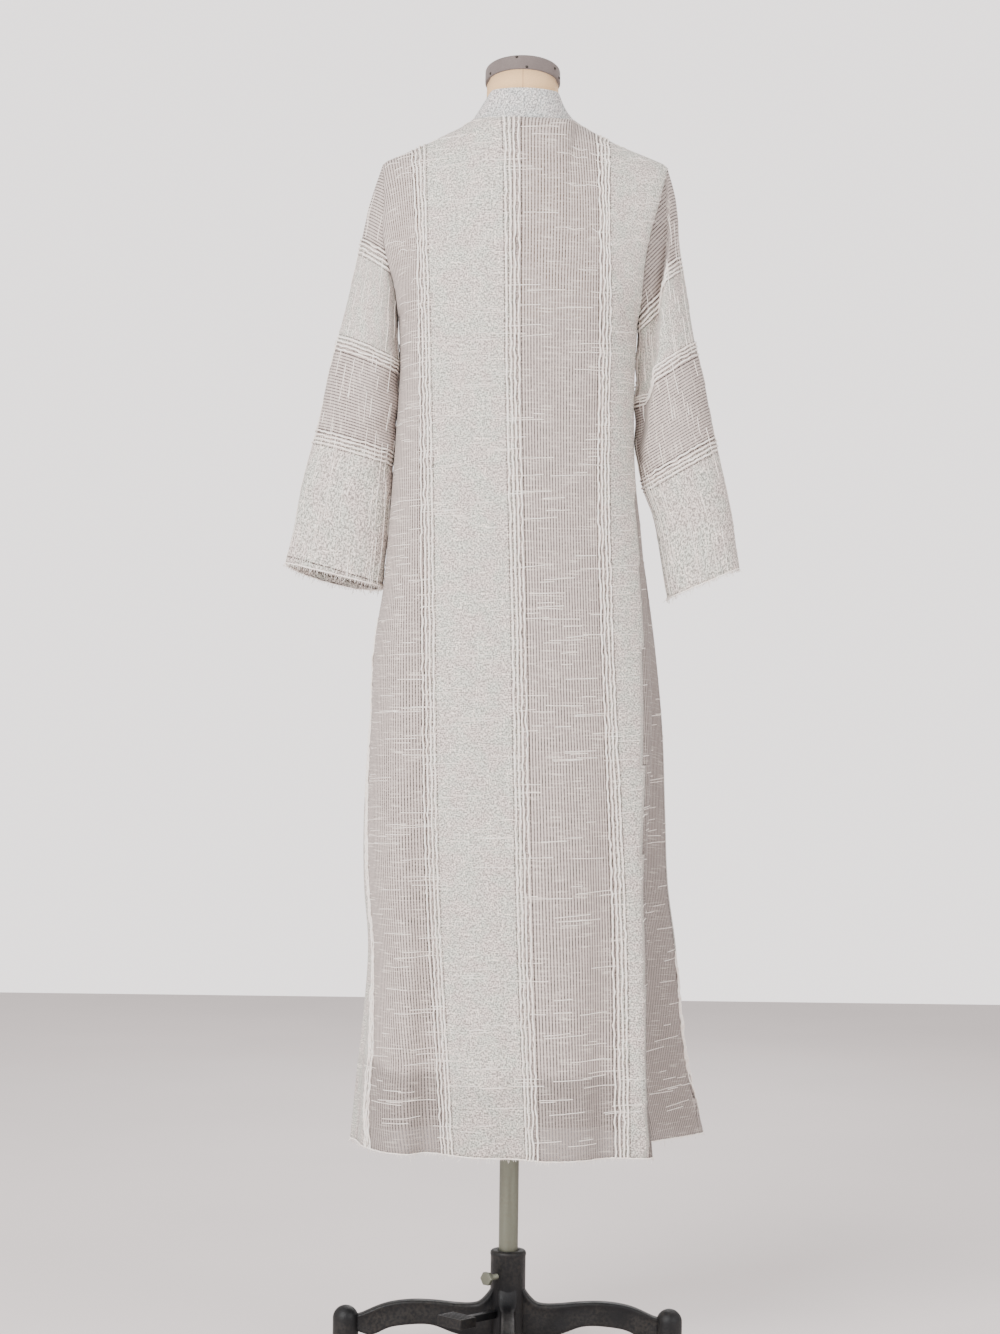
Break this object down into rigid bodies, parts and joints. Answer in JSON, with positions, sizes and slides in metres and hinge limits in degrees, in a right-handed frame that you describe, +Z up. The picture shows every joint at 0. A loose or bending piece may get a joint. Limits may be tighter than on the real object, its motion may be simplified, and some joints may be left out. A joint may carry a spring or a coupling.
{
  "type": "abaya on a dress form",
  "caption": "Long open-weave A-line abaya with straight sleeves and a narrow band collar, on a limbless dress form with a four-legged cast stand.",
  "frame": {"origin": "centre of the part's box, on the floor", "axes": "+Z up; +Y is the way the wearer faces, so the back panel is on the -Y side"},
  "size_m": [0.6346, 0.488, 1.8099],
  "materials": {
    "shell_cloth": "open and dense bands of slubbed linen-look weave with raised cream cords",
    "collar_cloth": "dense slubbed weave",
    "lining_cloth": "smooth thin plain weave",
    "form_cloth": "cream jersey drawn smooth over the form",
    "cap_cloth": "grey cloth band with small tacks",
    "steel": "bare turned steel, slightly worn",
    "cast_iron": "black enamelled casting, satin"
  },
  "bodies": {
    "stand": {"stand_hub": "cast_iron", "leg_right": "cast_iron", "foot_right": "cast_iron", "leg_front": "cast_iron", "foot_front": "cast_iron", "leg_left": "cast_iron", "foot_left": "cast_iron", "leg_back": "cast_iron", "foot_back": "cast_iron"},
    "column": {"pole": "steel"},
    "form": {"dress_form": "form_cloth", "neck_cap": "cap_cloth", "back_panel": "shell_cloth", "front_panel": "shell_cloth", "sleeve_left": "shell_cloth", "sleeve_right": "shell_cloth", "collar": "collar_cloth", "lining": "lining_cloth"},
    "screw": {"clamp_screw": "steel"},
    "pedal": {"pedal": "cast_iron"}
  },
  "joints": [
    {"name": "height_slide", "type": "slide", "parent": "stand", "child": "column", "axis": [0, 0, 1], "range_m": [-0.015, 0.08]},
    {"name": "form_turn", "type": "hinge", "parent": "column", "child": "form", "pos_m": [0.00625, 0, 0.89], "axis": [0, 0, 1], "continuous": true},
    {"name": "screw_turn", "type": "hinge", "parent": "stand", "child": "screw", "pos_m": [-0.02309, -0.03412, 0.114], "axis": [-0.6521, -0.7581, 0], "continuous": true},
    {"name": "pedal_press", "type": "hinge", "parent": "stand", "child": "pedal", "pos_m": [-0.01567, -0.02192, 0.061], "axis": [0.7071, -0.7071, 0], "range_deg": [0, 12], "stiffness_Nm_per_rad": 1.5, "springref_deg": -8.59}
  ]
}
